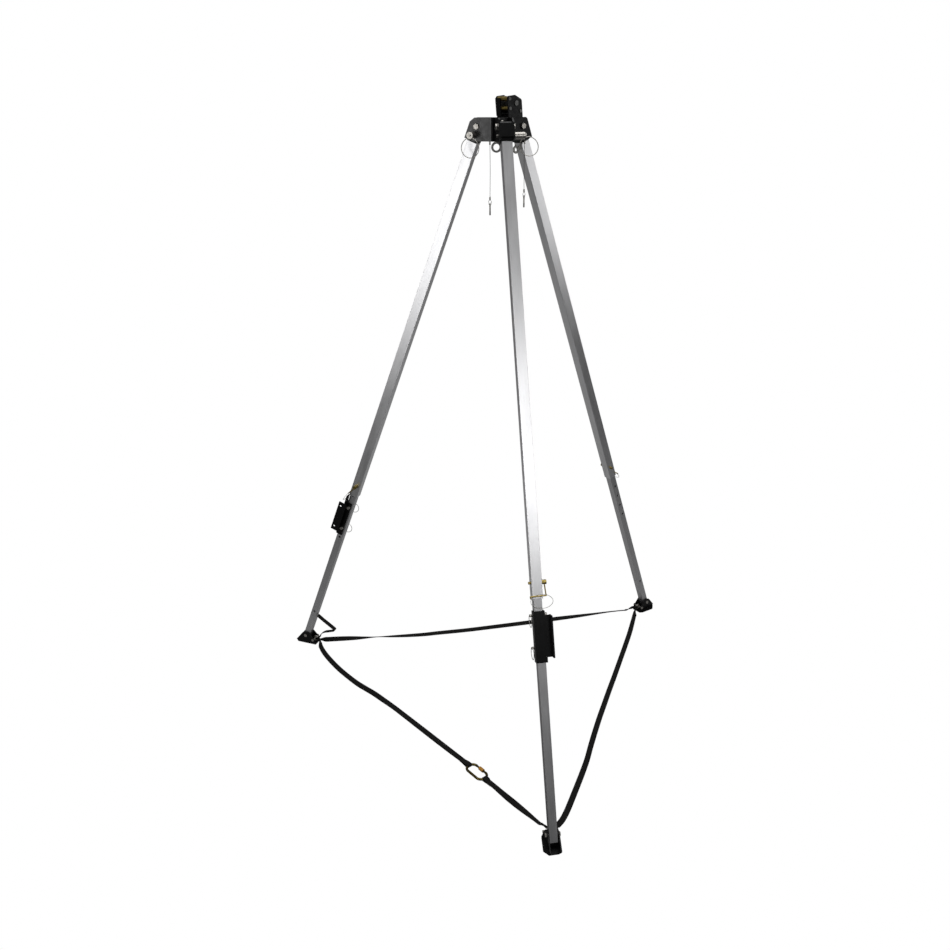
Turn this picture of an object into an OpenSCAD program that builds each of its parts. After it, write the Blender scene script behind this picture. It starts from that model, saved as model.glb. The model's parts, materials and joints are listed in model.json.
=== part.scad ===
// Rescue tripod: three telescopic square legs on a folding head, with a top pulley block,
// two winch brackets, hinged feet and a strap with a screw-gate carabiner round the feet.
// Millimetres, +Z up. The ground is Z = 0 and the front leg points to -Y.

/* [Legs] */
// Lean of each leg from the vertical, degrees
leg_tilt = 21.4; // [18:0.1:24]
// Radius of the circle through the three leg pivots
pivot_r = 88; // [80:1:110]
// Leg pivot to the lower end of the upper tube
upper_reach = 1776; // [1500:4:1900]
// Lower end of the upper tube to the foot pivot
lower_reach = 909; // [850:1:1000]
// Outside width of the square upper tube
upper_w = 40; // [38:0.5:46]
// Wall of the upper tube
upper_wall = 3; // [2:0.25:3.5]
// Gap on each side between the two tubes
tube_gap = 0.9; // [0.5:0.1:1.5]
// Wall of the lower tube
lower_wall = 2.5; // [2:0.25:4]
// Length of lower tube inside the upper tube
overlap = 830; // [600:10:850]
// Spacing of the adjusting holes
hole_pitch = 62; // [56:1:64]
// Diameter of the adjusting holes
hole_d = 11; // [10.6:0.1:12]
// Adjusting pin above the end of the upper tube
pin_up = 60; // [50:1:80]

/* [Head] */
// Head above the leg pivots
head_up = 32; // [30:1:44]
// Head below the leg pivots
head_down = 54; // [50:1:58]
// Thickness of the head plates
plate_t = 6; // [5:0.5:8]
// Width of the black leg knuckle
knuckle_w = 47.4; // [46.5:0.1:54]
// Side gap between knuckle and clevis plates
knuckle_gap = 0.3; // [0.2:0.05:0.6]
// Distance of the hub's flat faces from the axis
hub_face_r = 26; // [22:1:32]
// Diameter of the leg pivot bolts
pivot_d = 12; // [10:0.5:14]
// Leg pivot to lock pin, along the leg
lock_r = 33; // [32:0.5:35]
// Diameter of the lock pins
lock_d = 10; // [8:0.5:11]
// Diameter of the lock pin heads
lock_head_d = 26; // [24:1:30]
// Length of the lock pin heads
lock_head_l = 38; // [30:1:42]
// Bore of the anchor eye
eye_bore = 25; // [20:1:28]

/* [Pulley block] */
// Length of the cheek plates
cheek_l = 71; // [70:1:84]
// Height of the cheek plates
cheek_h = 70; // [68:1:80]
// Thickness of the cheek plates
cheek_t = 5; // [4:0.5:8]
// Distance of the block's middle from the tripod axis
block_r = 47.5; // [44:0.5:56]
// Lean of the block, its outer end up, degrees
block_lean = 6; // [2:1:8]
// Diameter of the sheaves
sheave_d = 50; // [44:1:52]
// Width of each sheave
sheave_w = 28; // [22:1:30]
// Diameter of the sheave axle
axle_d = 14; // [12:1:18]

/* [Winch brackets] */
// Bracket sheet thickness
bracket_t = 6; // [4:0.5:6]
// Length of the winch flange
flange_l = 160; // [150:2:180]
// Stand-off of the winch flange from the leg axis
flange_y = 46; // [42:1:56]
// Outer edge of the winch flange from the leg axis
flange_x = 48; // [44:1:60]
// Spacing of the two winch holes
winch_pitch = 120; // [100:2:130]
// Diameter of the winch holes
winch_d = 10.5; // [8:0.5:13]

/* [Feet] */
// Height of the foot pivot above the ground
foot_pivot_z = 48; // [46:1:54]
// Foot pivot to the outer tip of the shoe
foot_out = 59; // [54:1:66]
// Foot pivot to the inner end of the shoe
foot_in = 54; // [50:1:56]
// Reach of the sole's side flange from the leg's plane
sole_side = 44; // [38:1:50]
// Thickness of the shoe plates
shoe_t = 5; // [4:0.5:8]
// Gap on each side between lower tube and shoe
shoe_gap = 3; // [2:0.5:5]
// Diameter of the foot pivot bolts
foot_d = 10; // [8:0.5:12]
// Foot pivot to the strap bolt, inwards
strap_bolt_x = 40; // [38:1:42]

/* [Strap] */
// Width of the webbing
strap_w = 25; // [20:1:30]
// Thickness of the webbing
strap_t = 3; // [2:0.25:4]
// Height of the strap above the ground
strap_z = 9; // [8.5:0.5:12]
// Carabiner to the front foot's ring
carabiner_at = 426; // [300:2:600]
// Length of the carabiner
carabiner_l = 116; // [110:1:130]
// Width of the carabiner
carabiner_w = 60; // [58:1:70]
// Diameter of the carabiner's rod
carabiner_d = 11; // [9:0.5:12]

/* [Hidden] */
$fn = 48;
// Radial clearance of pins that turn, and of pins that slide
fit = 0.08;
slip = 0.3;

lower_w = upper_w - 2 * (upper_wall + tube_gap);
leg_len = upper_reach + lower_reach;
pivot_z = foot_pivot_z + leg_len * cos(leg_tilt);
foot_r = pivot_r + leg_len * sin(leg_tilt);
pin_z = upper_reach - pin_up;
// Numbers of the adjusting holes, counted down the lower tube from the pinned one
hole_steps = [for (k = [-7:5]) k, 13];
// Holes that hold the winch brackets
bracket_steps = [2, 4];

clevis_in = knuckle_w / 2 + knuckle_gap;
clevis_out = clevis_in + plate_t;
web_gap = 6;
web_x = upper_w / 2 + web_gap;
tube_top = 60;
plug_l = 60;
head_bottom = pivot_z - head_down;
top_z = pivot_z + head_up;
lock_in = clevis_out + 5;

shoe_in = lower_w / 2 + shoe_gap;
shoe_out = shoe_in + shoe_t;
sole_t = 6;
tube_under_pivot = 26;

// Ring on the strap bolt, leaning inwards
ring_r = 14;
ring_d = 6;
strap_bolt_d = 8;
strap_bolt_z = 26;
ring_lean = 13;
ring_off = ring_r - ring_d / 2 - strap_bolt_d / 2 - slip;
ring_x = -strap_bolt_x - ring_off * cos(ring_lean);
ring_z = strap_bolt_z - ring_off * sin(ring_lean);
loop_x = ring_x - ring_r;
// Upright end of a strap beside the ring's inner bow, and the start of its run
tab_x = loop_x - ring_d / 2 - slip - strap_t;
tab_y = 0.5;
strap_x = tab_x + strap_t / 2 - 3;
strap_dy = strap_w / 4 + tab_y;

// Middle of the tripod, placed so that the origin is under the middle of its box
sole_corner = 28;
tip_y = max(
    (foot_r + foot_out) * sin(30) + shoe_out * cos(30),
    (foot_r + foot_out - sole_corner) * sin(30) + sole_side * cos(30)
);
axis_y = (foot_r + foot_out - tip_y) / 2;

LEFT = 0;
FRONT = 1;
RIGHT = 2;
LEG_AZIMUTH = [150, 270, 30];

STEEL = [0.72, 0.72, 0.70];
BLACK = [0.05, 0.05, 0.055];
ALUMINIUM = [0.80, 0.81, 0.82];
ZINC = [0.72, 0.60, 0.22];
WEBBING = [0.07, 0.065, 0.06];

// Frames that the pieces are drawn in

// X along a leg's radius from the tripod axis, Z from the ground
module on_azimuth(leg) {
    translate([0, axis_y, 0]) rotate([0, 0, LEG_AZIMUTH[leg]]) children();
}

// Origin at a leg pivot, -Z down the leg, X outwards, Y round the tripod
module on_leg(leg) {
    on_azimuth(leg) translate([pivot_r, 0, pivot_z]) rotate([0, -leg_tilt, 0]) children();
}

// Origin on the ground under a foot pivot, X outwards
module on_foot(leg) {
    on_azimuth(leg) translate([foot_r, 0, 0]) children();
}

// Point on the plan at x, y from a foot pivot
function foot_point(leg, x, y) = let (a = LEG_AZIMUTH[leg]) [
    (foot_r + x) * cos(a) - y * sin(a),
    (foot_r + x) * sin(a) + y * cos(a) + axis_y
];

// Shapes that repeat

module rod_y(d, y0, y1) {
    translate([0, y0, 0]) rotate([-90, 0, 0]) cylinder(d = d, h = y1 - y0);
}

module rod_x(d, x0, x1) {
    translate([x0, 0, 0]) rotate([0, 90, 0]) cylinder(d = d, h = x1 - x0);
}

// Outline in X and Z, thick along Y from y0 to y1
module plate_xz(points, y0, y1) {
    translate([0, y1, 0]) rotate([90, 0, 0]) linear_extrude(y1 - y0) polygon(points);
}

module square_tube(w, wall, z0, z1) {
    translate([0, 0, z0]) linear_extrude(z1 - z0) difference() {
        square(w, center = true);
        square(w - 2 * wall, center = true);
    }
}

module wire_ring(r, d) {
    rotate_extrude() translate([r, 0]) circle(d = d, $fn = 24);
}

// Hexagon bolt along Y with its nut, gripping from y0 to y1
module bolt_y(d, y0, y1) {
    head_t = 0.6 * d;
    rod_y(d, y0 - head_t, y1 + head_t);
    translate([0, y0 - head_t, 0]) rotate([-90, 0, 0]) cylinder(d = 1.85 * d, h = head_t, $fn = 6);
    translate([0, y1, 0]) rotate([-90, 0, 0]) cylinder(d = 1.85 * d, h = head_t, $fn = 6);
}

// Head

module hub_triangle(inradius, corner_cut) {
    intersection() {
        circle(r = 2 * inradius, $fn = 3);
        rotate(60) circle(r = 2 * (2 * inradius - corner_cut), $fn = 3);
    }
}

hub_cut = 8;
eye_r = 21;
eye_azimuth = 210;
eye_t = 8;
eye_wall = 7.5;
eye_drop = eye_bore / 2 + eye_wall + 0.5;
eye_stem_d = 14;
eye_stem_l = 30;
eye_z = head_bottom - eye_drop;

module on_eye() translate([eye_r * cos(eye_azimuth), axis_y + eye_r * sin(eye_azimuth), 0]) children();

module head_hub() color(BLACK) difference() {
    translate([0, axis_y, head_bottom]) linear_extrude(head_down + head_up)
        rotate(90) hub_triangle(hub_face_r, hub_cut);
    on_eye() translate([0, 0, head_bottom - 1]) cylinder(d = eye_stem_d + 2 * fit, h = eye_stem_l + 1);
}

function outer_edge(z) = pivot_r - z * tan(leg_tilt) + (web_x + plate_t) / cos(leg_tilt);

foot_chamfer = 14;
web_top = 4;
web_bottom = 46;

// Side outline of a clevis, its top outer corner cut off by the chamfer
function clevis_side(chamfer) = [
    [hub_face_r, -head_down],
    [pivot_r + 18, -head_down],
    [outer_edge(foot_chamfer - head_down), foot_chamfer - head_down],
    [outer_edge(head_up - chamfer), head_up - chamfer],
    [outer_edge(head_up) - chamfer, head_up],
    [hub_face_r, head_up]
];

module clevis(leg) color(BLACK) difference() {
    union() {
        on_azimuth(leg) translate([0, 0, pivot_z]) {
            plate_xz(clevis_side(14), clevis_in, clevis_out);
            plate_xz(clevis_side(5), -clevis_out, -clevis_in);
            translate([hub_face_r, -clevis_out, -head_down])
                cube([plate_t, 2 * clevis_out, head_down + head_up]);
        }
        on_leg(leg) translate([web_x, -clevis_out, -web_bottom])
            cube([plate_t, 2 * clevis_out, web_bottom + web_top]);
    }
    on_leg(leg) {
        rod_y(pivot_d + 2 * fit, -clevis_out - 1, clevis_out + 1);
        translate([0, 0, -lock_r]) rod_y(lock_d + 2 * slip, -clevis_out - 1, clevis_out + 1);
    }
    on_azimuth(leg) for (z = bolt_heights) translate([0, 0, pivot_z + z])
        rod_x(hub_bolt_d + 2 * fit, hub_face_r - 1, hub_face_r + plate_t + 1);
}

hub_bolt_d = 8;
bolt_heights = [-head_down / 2, head_up / 2];
hub_bolt_head = 5;

// Pivot bolts of the legs, and the screws that hold each clevis to the hub
module head_bolts() color(STEEL) for (leg = [LEFT, FRONT, RIGHT]) {
    on_leg(leg) bolt_y(pivot_d, -clevis_out, clevis_out);
    on_azimuth(leg) for (z = bolt_heights) translate([hub_face_r, 0, pivot_z + z]) {
        rod_x(hub_bolt_d, 0, plate_t + hub_bolt_head);
        rod_x(1.6 * hub_bolt_d, plate_t, plate_t + hub_bolt_head);
    }
}

// Forged eye under the hub, its bore along Y
module anchor_eye() color(STEEL) on_eye() difference() {
    union() {
        translate([0, 0, eye_z]) rod_y(eye_bore + 2 * eye_wall, -eye_t / 2, eye_t / 2);
        translate([0, 0, eye_z + eye_bore / 2 + eye_wall / 2])
            cylinder(d = eye_stem_d, h = eye_drop + eye_stem_l - eye_bore / 2 - eye_wall / 2 - 1);
    }
    translate([0, 0, eye_z]) rod_y(eye_bore, -eye_t, eye_t);
}

lock_ring_r = 36;
lock_wire = 3;
button_d = 8;
button_l = 4;
// Wire rings pass through the pin's head near its end
lock_ring_in = lock_head_d / 2 - 3.5;
lock_ring_y = lock_in + lock_head_l - 5;

// The front ring lies along its pin, the other two hang across theirs
module on_lock_ring(leg) {
    hang = lock_ring_in + lock_ring_r;
    if (leg == FRONT)
        translate([0, lock_ring_y + lock_ring_r * cos(60), -lock_ring_in - lock_ring_r * sin(60)])
            rotate([0, 90, 0]) children();
    else
        translate([-hang * sin(leg_tilt), lock_ring_y, -hang * cos(leg_tilt)])
            rotate([90, 0, 0]) children();
}

module lock_pin(leg) color(STEEL) on_leg(leg) translate([0, 0, -lock_r]) difference() {
    union() {
        rod_y(lock_d, -lock_in, lock_in);
        rod_y(lock_head_d, clevis_out + slip, lock_in + lock_head_l);
        rod_y(button_d, lock_in + lock_head_l, lock_in + lock_head_l + button_l);
    }
    on_lock_ring(leg) wire_ring(lock_ring_r, lock_wire + 2 * slip);
}

module lock_ring(leg) color(STEEL) on_leg(leg) translate([0, 0, -lock_r])
    on_lock_ring(leg) wire_ring(lock_ring_r, lock_wire);

// Pulley block

base_t = 5;
block_in = sheave_w + 1.5;
block_out = block_in + cheek_t;
axle_x = 6;
axle_z = 41;
sheave_gap = 0.5;
spacer_d = 16;
block_bolt_d = 8;
block_head_t = 3;
end_plate_w = 26;
end_plate_t = 3;
end_plate_lap = 2;
spacer_places = [
    [-cheek_l / 2 + 9, cheek_h - 10],
    [-cheek_l / 2 + 9, cheek_h - 44],
    [cheek_l / 2 - 10, 11]
];

// Inner lower edge of the base, on top of the head
module on_base() on_azimuth(RIGHT) translate([block_r - cheek_l / 2, 0, top_z]) children();

// Middle of the leaning base's upper face
module on_block() on_base() rotate([0, -block_lean, 0]) translate([cheek_l / 2, 0, base_t]) children();

module on_spacers() for (place = spacer_places) translate([place[0], 0, place[1]]) children();

// Wedge that leans the block
module pulley_base() color(BLACK) on_base() {
    run = cheek_l * cos(block_lean);
    rise = cheek_l * sin(block_lean);
    shift = base_t * sin(block_lean);
    up = base_t * cos(block_lean);
    plate_xz([[0, 0], [run, 0], [run, rise], [run - shift, rise + up], [-shift, up]], -block_out, block_out);
}

// Two cheeks, one with a narrow plate across its inner end
module pulley_cheeks() color(BLACK) on_block() difference() {
    union() {
        end_h = cheek_h - 6;
        translate([-cheek_l / 2 - end_plate_t, block_out - end_plate_w, 0]) cube([end_plate_t, end_plate_w, end_h]);
        translate([-cheek_l / 2 - end_plate_t, block_in, 0]) cube([end_plate_t + end_plate_lap, cheek_t, end_h]);
        for (y = [-block_out, block_in]) plate_xz([
            [-cheek_l / 2, 0],
            [cheek_l / 2, 0],
            [cheek_l / 2, cheek_h - 22],
            [cheek_l / 2 - 5, cheek_h - 16],
            [cheek_l / 2 - 32, cheek_h],
            [-cheek_l / 2 + 5, cheek_h],
            [-cheek_l / 2, cheek_h - 6]
        ], y, y + cheek_t);
    }
    translate([axle_x, 0, axle_z]) rod_y(axle_d + 2 * fit, -block_out - 1, block_out + 1);
    on_spacers() rod_y(block_bolt_d + 2 * fit, -block_out - 1, block_out + 1);
}

module pulley_spacers() color(ZINC) on_block() on_spacers() difference() {
    rod_y(spacer_d, -block_in, block_in);
    rod_y(block_bolt_d + 2 * fit, -block_in - 1, block_in + 1);
}

// Bolt through both cheeks with a thin round head at each end
module block_bolt(d) {
    rod_y(d, -block_out - block_head_t, block_out + block_head_t);
    for (y = [-block_out - block_head_t, block_out]) rod_y(d + 5, y, y + block_head_t);
}

// Axle of the sheaves and the three bolts of the block
module pulley_bolts() color(BLACK) on_block() {
    translate([axle_x, 0, axle_z]) block_bolt(axle_d);
    on_spacers() block_bolt(block_bolt_d);
}

// Grooved wheel on the axle, its middle at y
module sheave(y) color([0.16, 0.16, 0.17]) on_block() translate([axle_x, y, axle_z]) rotate([-90, 0, 0])
    rotate_extrude() polygon([
        [axle_d / 2 + fit, -sheave_w / 2],
        [sheave_d / 2, -sheave_w / 2],
        [sheave_d / 2, -sheave_w / 2 + 4],
        [sheave_d / 2 - 9, -3],
        [sheave_d / 2 - 9, 3],
        [sheave_d / 2, sheave_w / 2 - 4],
        [sheave_d / 2, sheave_w / 2],
        [axle_d / 2 + fit, sheave_w / 2]
    ]);

sheave_y = sheave_w / 2 + sheave_gap;

// Lanyards that hang from the head, each with a small hitch pin

lanyard_left_l = 204;
lanyard_right_l = 181;
ferrule_d = 6;
ferrule_l = 12;
hitch_d = 6;
hitch_l = 46;
hitch_ring_r = 8;
lanyard_wire = 1.8;

function lanyard_l(side) = side == LEFT ? lanyard_left_l : lanyard_right_l;

// Under a side plate of the left clevis and of the right one
module on_lanyard(side) {
    mid = clevis_in + plate_t / 2;
    if (side == LEFT) on_azimuth(LEFT) translate([hub_face_r + 8, mid, head_bottom]) children();
    else on_azimuth(RIGHT) translate([pivot_r + 13, -mid, head_bottom]) children();
}

module lanyard(side) color(STEEL) on_lanyard(side) {
    translate([0, 0, -ferrule_l]) cylinder(d = ferrule_d, h = ferrule_l);
    translate([0, 0, -lanyard_l(side)]) cylinder(d = lanyard_wire, h = lanyard_l(side) - 1);
    translate([0, 0, -lanyard_l(side) - ferrule_l]) cylinder(d = ferrule_d, h = ferrule_l);
    translate([0, 0, -lanyard_l(side) - ferrule_l - hitch_ring_r]) rotate([90, 0, 0])
        wire_ring(hitch_ring_r, lanyard_wire);
}

module hitch_pins() color(STEEL) for (side = [LEFT, RIGHT])
    on_lanyard(side) translate([0, 0, -lanyard_l(side) - ferrule_l - 2 * hitch_ring_r]) difference() {
        translate([0, 0, 4 - hitch_l]) cylinder(d = hitch_d, h = hitch_l);
        translate([0, 0, hitch_ring_r]) rotate([90, 0, 0]) wire_ring(hitch_ring_r, lanyard_wire + 2 * slip);
    }

// Legs

module arc_slot(d, r, angle, y) rotate([90, 0, 0]) rotate([0, 0, -90]) {
    rotate_extrude(angle = angle) translate([r - d / 2, -y]) square([d, 2 * y]);
    for (turn = [0, angle]) rotate([0, 0, turn]) translate([r, 0, 0]) cylinder(d = d, h = 2 * y, center = true);
}

plug_gap = 0.1;

module knuckle(leg) color(BLACK) on_leg(leg) difference() {
    union() {
        rod_y(upper_w, -knuckle_w / 2, knuckle_w / 2);
        translate([-upper_w / 2, -knuckle_w / 2, -tube_top]) cube([upper_w, knuckle_w, tube_top]);
        plug_w = upper_w - 2 * (upper_wall + plug_gap);
        translate([-plug_w / 2, -plug_w / 2, -tube_top - plug_l]) cube([plug_w, plug_w, plug_l + 1]);
    }
    rod_y(pivot_d + 2 * fit, -knuckle_w, knuckle_w);
    arc_slot(lock_d + 2 * slip, lock_r, leg_tilt, knuckle_w);
}

module upper_tube(leg) color(ALUMINIUM) on_leg(leg) difference() {
    square_tube(upper_w, upper_wall, -upper_reach, -tube_top);
    translate([0, 0, -pin_z]) rod_y(hole_d, -upper_w, upper_w);
}

leg_eye_at = 78;
leg_eye_r = 11;
leg_eye_d = 9;
leg_eye_out = 19;

// Eye bolt on the inner face of the right upper tube
module leg_eye() color(STEEL) on_leg(RIGHT) translate([-upper_w / 2, 0, -leg_eye_at]) {
    rod_x(14, -4, 0);
    rod_x(9, leg_eye_r - leg_eye_out, 0);
    translate([-leg_eye_out, 0, 0]) rotate([90, 0, 0]) wire_ring(leg_eye_r, leg_eye_d);
}

module lower_tube(leg) color(ALUMINIUM) on_leg(leg) difference() {
    square_tube(lower_w, lower_wall, -leg_len - tube_under_pivot, -upper_reach + overlap);
    for (k = hole_steps) translate([0, 0, -pin_z - k * hole_pitch]) rod_y(hole_d, -lower_w, lower_w);
    translate([0, 0, -leg_len]) rod_y(foot_d + 2 * fit, -lower_w, lower_w);
}

adjust_d = hole_d - 2 * slip;
adjust_in = upper_w / 2 + 9;
eye_l = 6;
adjust_head_d = 18;
adjust_head_l = 5;
bail_d = 5;
bail_r = 54;
bail_lean = asin((upper_w / 2 + bail_d / 2 + slip) / bail_r);
bail_hook = 9;

// Pin through both tubes, with a flange that keeps the bail's eye on it
module adjust_pin(leg) color(ZINC) on_leg(leg) translate([0, 0, -pin_z]) {
    rod_y(adjust_d, -adjust_in, adjust_in + eye_l + 1);
    rod_y(adjust_head_d, adjust_in + eye_l + slip, adjust_in + eye_l + slip + adjust_head_l);
    rod_y(adjust_head_d, upper_w / 2 + slip, adjust_in - slip);
}

// Wire bail that swings on the pin and crosses in front of the tube
module pin_bail(leg) color(ZINC) on_leg(leg) translate([0, 0, -pin_z]) {
    difference() {
        rod_y(adjust_head_d, adjust_in, adjust_in + eye_l);
        rod_y(adjust_d + 2 * fit, adjust_in - 1, adjust_in + eye_l + 1);
    }
    y_head = adjust_in + eye_l / 2;
    rotate([0, -bail_lean, 0]) {
        translate([0, y_head, -bail_r]) cylinder(d = bail_d, h = bail_r - adjust_d / 2 - 1);
        translate([0, y_head, -bail_r]) sphere(d = bail_d);
        translate([0, 0, -bail_r]) rod_y(bail_d, -adjust_in, y_head);
        translate([0, -adjust_in, -bail_r]) sphere(d = bail_d);
        translate([0, -adjust_in, -bail_r - bail_hook]) cylinder(d = bail_d, h = bail_hook);
    }
}

// Winch brackets

bracket_gap = 0.5;
bracket_in = lower_w / 2 + bracket_gap;
bracket_out = bracket_in + bracket_t;
// Reach above the upper pin and below the lower pin, and drop of the flange, left and front leg
bracket_above = [22, 18];
bracket_below = [44, 55];
flange_drop = [0, 17];
function bracket_top(leg) = pin_z + bracket_steps[0] * hole_pitch - bracket_above[leg];
function bracket_bottom(leg) = pin_z + bracket_steps[1] * hole_pitch + bracket_below[leg];
function flange_mid(leg) = pin_z + (bracket_steps[0] + bracket_steps[1]) / 2 * hole_pitch + flange_drop[leg];
bracket_lip = 8;
bracket_pin_d = hole_d - 2 * slip;
bracket_pin_in = bracket_out + 10;
bracket_head_d = 15;
bracket_head_l = 12;
flange_in = bracket_head_d / 2 + 2;
bracket_ring_r = 24;
bracket_wire = 2.4;
// Room between the tab and the bail above it
tab_gap = 6.6;
tab_top = pin_z + bail_r * cos(bail_lean) + bail_d / 2 + tab_gap;
tab_in = upper_w / 2 + 1;

// Channel on the lower tube with a winch flange, and a tab above the flange on the left leg
module winch_bracket(leg) color(BLACK) on_leg(leg) difference() {
    union() {
        channel_l = bracket_bottom(leg) - bracket_top(leg);
        flange_end = flange_mid(leg) + flange_l / 2;
        translate([bracket_in, -bracket_out, -bracket_bottom(leg)])
            cube([bracket_t, 2 * bracket_out, channel_l]);
        for (y = [-bracket_out, bracket_in]) translate([-bracket_lip, y, -bracket_bottom(leg)])
            cube([bracket_lip + bracket_out, bracket_t, channel_l]);
        translate([bracket_in, 0, -flange_end]) cube([bracket_t, flange_y, flange_l]);
        translate([flange_in, flange_y - bracket_t, -flange_end])
            cube([flange_x - flange_in, bracket_t, flange_l]);
        if (leg == LEFT) translate([bracket_in, tab_in, flange_l - flange_end - 2])
            cube([bracket_t, flange_y - tab_in - 2, flange_end - flange_l - tab_top + 2]);
    }
    for (k = bracket_steps) translate([0, 0, -pin_z - k * hole_pitch])
        rod_y(hole_d, -bracket_out - 1, bracket_out + 1);
    for (side = [-1, 1]) translate([flange_hole_x, 0, -flange_mid(leg) + side * winch_pitch / 2])
        rod_y(winch_d, flange_y - bracket_t - 1, flange_y + 1);
}

flange_hole_x = (bracket_out + flange_x) / 2;

module on_bracket_pins(leg) on_leg(leg)
    for (k = bracket_steps) translate([0, 0, -pin_z - k * hole_pitch]) children();

// Rings hang from the pins' ends, across them
module on_bracket_ring()
    translate([-bracket_ring_r * sin(leg_tilt), 4 - bracket_pin_in, -bracket_ring_r * cos(leg_tilt)])
        rotate([90, 0, 0]) children();

module bracket_pins(leg) color(STEEL) on_bracket_pins(leg) difference() {
    union() {
        rod_y(bracket_pin_d, -bracket_pin_in, bracket_out + 1);
        rod_y(bracket_head_d, bracket_out, bracket_out + bracket_head_l);
    }
    on_bracket_ring() wire_ring(bracket_ring_r, bracket_wire + 2 * slip);
}

module bracket_rings(leg) color(STEEL) on_bracket_pins(leg)
    on_bracket_ring() wire_ring(bracket_ring_r, bracket_wire);

// Feet

sole_taper = 10;

// Two side plates on a sole that reaches further on one side
module foot_shoe(leg) color(BLACK) on_foot(leg) difference() {
    union() {
        side = [
            [-foot_in, 0],
            [foot_out - 9, 0],
            [foot_out, 14],
            [20, foot_pivot_z + 12],
            [10, foot_pivot_z + 16],
            [-14, foot_pivot_z + 16],
            [-foot_in + 4, 24],
            [-foot_in, 10]
        ];
        plate_xz(side, shoe_in, shoe_out);
        plate_xz(side, -shoe_out, -shoe_in);
        linear_extrude(sole_t) polygon([
            [-foot_in, shoe_out],
            [-foot_in, -shoe_out],
            [14 - foot_in, sole_taper - sole_side],
            [foot_out - sole_corner, -sole_side],
            [foot_out - 4, 18 - sole_side],
            [foot_out - 4, 12],
            [foot_out - 9, shoe_out]
        ]);
    }
    translate([0, 0, foot_pivot_z]) rod_y(foot_d + 2 * fit, -shoe_out - 1, shoe_out + 1);
    translate([-strap_bolt_x, 0, strap_bolt_z]) rod_y(strap_bolt_d + 2 * fit, -shoe_out - 1, shoe_out + 1);
}

// Pivot bolt and strap bolt of a shoe
module foot_bolt(leg) color(STEEL) on_foot(leg) {
    translate([0, 0, foot_pivot_z]) bolt_y(foot_d, -shoe_out, shoe_out);
    translate([-strap_bolt_x, 0, strap_bolt_z]) bolt_y(strap_bolt_d, -shoe_out, shoe_out);
}

module strap_ring(leg) color(STEEL) on_foot(leg) translate([ring_x, 0, ring_z])
    rotate([90, 0, 0]) wire_ring(ring_r, ring_d);

// Strap

// Where a strap's run leaves the ring of a foot, on the side of the next or the previous leg
function strap_point(leg, side) = foot_point(leg, strap_x, side * strap_dy);

// Upright end of a strap against the ring's inner bow
module strap_tab(leg, side) {
    tab_w = strap_w / 2 - 2 * tab_y;
    on_foot(leg) translate([tab_x, side > 0 ? tab_y : -tab_y - tab_w, strap_z])
        cube([strap_t, tab_w, ring_z + 2 - strap_z]);
}

// Straight flat band on the plan from p to q
module band(p, q) {
    run = q - p;
    translate([p[0], p[1], strap_z]) rotate([0, 0, atan2(run[1], run[0])])
        translate([0, -strap_w / 2, -strap_t / 2]) cube([norm(run), strap_w, strap_t]);
}

// The other run's side of a foot's middle, where the corner of a band is cut away
module other_side(leg, side) {
    on_foot(leg) translate([strap_x - 40, side > 0 ? 0.3 - strap_w : -0.3, 0]) cube([60, strap_w, 2 * strap_z]);
}

// Run of the strap between the left and front feet, with the carabiner in it
run_start = strap_point(LEFT, 1);
run_end = strap_point(FRONT, -1);
run_dir = (run_end - run_start) / norm(run_end - run_start);
carabiner_mid = run_end - carabiner_at * run_dir;
strap_end = carabiner_l / 2 + slip;

module strap_left() color(WEBBING) {
    difference() {
        band(run_start, carabiner_mid - strap_end * run_dir);
        other_side(LEFT, 1);
    }
    strap_tab(LEFT, 1);
}

module strap_front() color(WEBBING) {
    difference() {
        band(carabiner_mid + strap_end * run_dir, run_end);
        other_side(FRONT, -1);
    }
    strap_tab(FRONT, -1);
}

module strap_front_right() color(WEBBING) {
    difference() {
        band(strap_point(FRONT, 1), strap_point(RIGHT, -1));
        other_side(FRONT, 1);
        other_side(RIGHT, -1);
    }
    strap_tab(FRONT, 1);
    strap_tab(RIGHT, -1);
}

module strap_right_left() color(WEBBING) {
    difference() {
        band(strap_point(RIGHT, 1), strap_point(LEFT, -1));
        other_side(RIGHT, 1);
        other_side(LEFT, -1);
    }
    strap_tab(RIGHT, 1);
    strap_tab(LEFT, -1);
}

// Free end of the strap at the left foot: from the ring out to a fold and up to the leg
tail_out = 106;
tail_top = 172;
tail_mid = 104;

module strap_tail() color(WEBBING) on_foot(LEFT) {
    leg_x = -(tail_top - foot_pivot_z) * tan(leg_tilt) - (lower_w / 2 + slip) / cos(leg_tilt);
    fold_x = loop_x - tail_out;
    ring_end = loop_x - ring_d / 2 - slip;
    low_z = ring_z + 2 + slip;
    plate_xz([
        [leg_x, tail_top],
        [fold_x, tail_mid],
        [fold_x, tail_mid - 2 * strap_t],
        [ring_end, low_z],
        [ring_end, low_z + strap_t],
        [fold_x + 2 * strap_t, tail_mid - strap_t],
        [leg_x, tail_top - 1.4 * strap_t]
    ], -strap_w / 2, strap_w / 2);
}

// Carabiner: it lies flat, X along the strap towards the front foot, gate on the inner side

bow_r = (carabiner_w - carabiner_d) / 2;
straight = carabiner_l / 2 - carabiner_w / 2;
gate_d = carabiner_d - 2;
gate_pivot_x = -straight + 5;
gate_end_x = straight - 8;
gate_gap = 0.6;
tongue_t = 4.8;
tongue_r = 4;
rivet_d = 3;
sleeve_bore = gate_d + 2 * slip;
sleeve_d = gate_d + 7;
sleeve_x = gate_pivot_x + 13;
sleeve_l = gate_end_x - sleeve_x - 6;

module on_carabiner() translate([carabiner_mid[0], carabiner_mid[1], strap_z])
    rotate([0, 0, atan2(run_dir[1], run_dir[0])]) rotate([-90, 0, 0]) children();

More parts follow.
